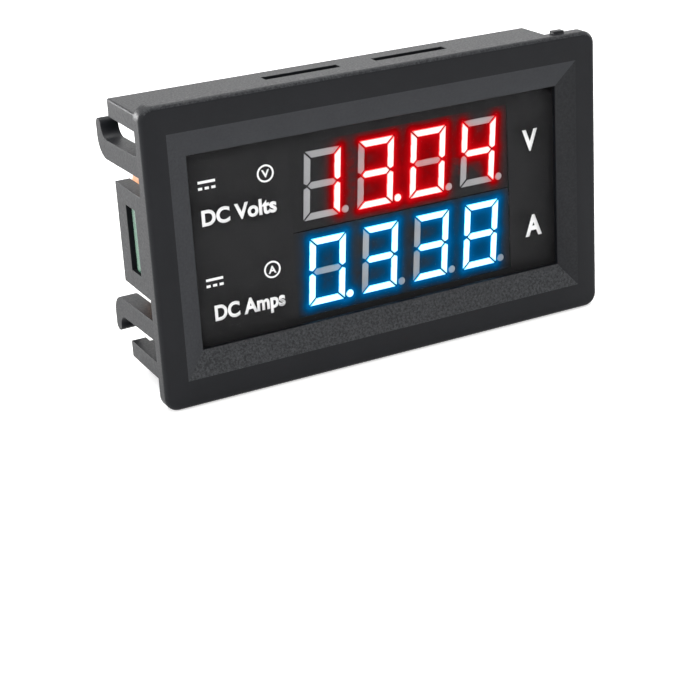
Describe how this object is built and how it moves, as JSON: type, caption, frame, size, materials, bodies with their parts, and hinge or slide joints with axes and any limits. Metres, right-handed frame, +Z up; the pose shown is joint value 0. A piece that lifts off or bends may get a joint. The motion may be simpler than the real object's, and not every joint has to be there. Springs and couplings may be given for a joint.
{
  "type": "digital panel meter",
  "caption": "Snap-in digital panel meter with a voltage row and a current row behind a smoked window, a circuit board and rear terminals.",
  "frame": {"origin": "centre of the panel cut-out in the plane of the panel's front face, where the bezel's rear face bears on it", "axes": "+X to the right as the display is read, +Y through the cut-out into the panel, +Z up"},
  "size_m": [0.048, 0.0173, 0.0293],
  "materials": {
    "black_abs": "fine spark-eroded grain",
    "smoked_window": "polished smoked sheet",
    "display_shell": "painted black face",
    "red_resin": "lit diffusing resin",
    "blue_resin": "lit diffusing resin",
    "unlit_resin": "unlit diffusing resin",
    "display_base": "moulded base",
    "tinned_steel": "tinned",
    "solder_mask": "green solder mask",
    "natural_nylon": "unfilled nylon",
    "pin_brass": "tin-plated brass",
    "manganin": "drawn resistance wire",
    "trimmer_body": "moulded body",
    "trimmer_metal": "stamped rotor",
    "chip_epoxy": "moulded epoxy",
    "resistor_film": "glazed film",
    "capacitor_ceramic": "fired ceramic",
    "solder": "bright solder"
  },
  "bodies": {
    "meter": {"housing": "black_abs", "window": "smoked_window", "red_display_shell": "display_shell", "red_display_base": "display_base", "red_segments_lit": "red_resin", "red_segments_unlit": "unlit_resin", "red_display_pins": "tinned_steel", "blue_display_shell": "display_shell", "blue_display_base": "display_base", "blue_segments_lit": "blue_resin", "blue_segments_unlit": "unlit_resin", "blue_display_pins": "tinned_steel", "board": "solder_mask", "supply_header": "natural_nylon", "supply_header_pins": "pin_brass", "current_header": "natural_nylon", "current_header_pins": "pin_brass", "shunt": "manganin", "voltage_trimmer": "trimmer_body", "current_trimmer": "trimmer_body", "controller": "chip_epoxy", "controller_leads": "tinned_steel", "amplifier": "chip_epoxy", "amplifier_leads": "tinned_steel", "regulator": "chip_epoxy", "regulator_leads": "tinned_steel", "input_diode": "chip_epoxy", "diode_terminals": "tinned_steel", "chip_resistors": "resistor_film", "chip_capacitors": "capacitor_ceramic", "chip_terminals": "solder", "solder_joints": "solder"},
    "voltage_trim": {"voltage_trimmer_rotor": "trimmer_metal"},
    "current_trim": {"current_trimmer_rotor": "trimmer_metal"}
  },
  "joints": [
    {"name": "voltage_trim_turn", "type": "hinge", "parent": "meter", "child": "voltage_trim", "pos_m": [0.001, 0.0083, 0.0097], "axis": [0, 1, 0], "range_deg": [-130, 130]},
    {"name": "current_trim_turn", "type": "hinge", "parent": "meter", "child": "current_trim", "pos_m": [0.008, 0.0083, 0.0097], "axis": [0, 1, 0], "range_deg": [-130, 130]}
  ]
}
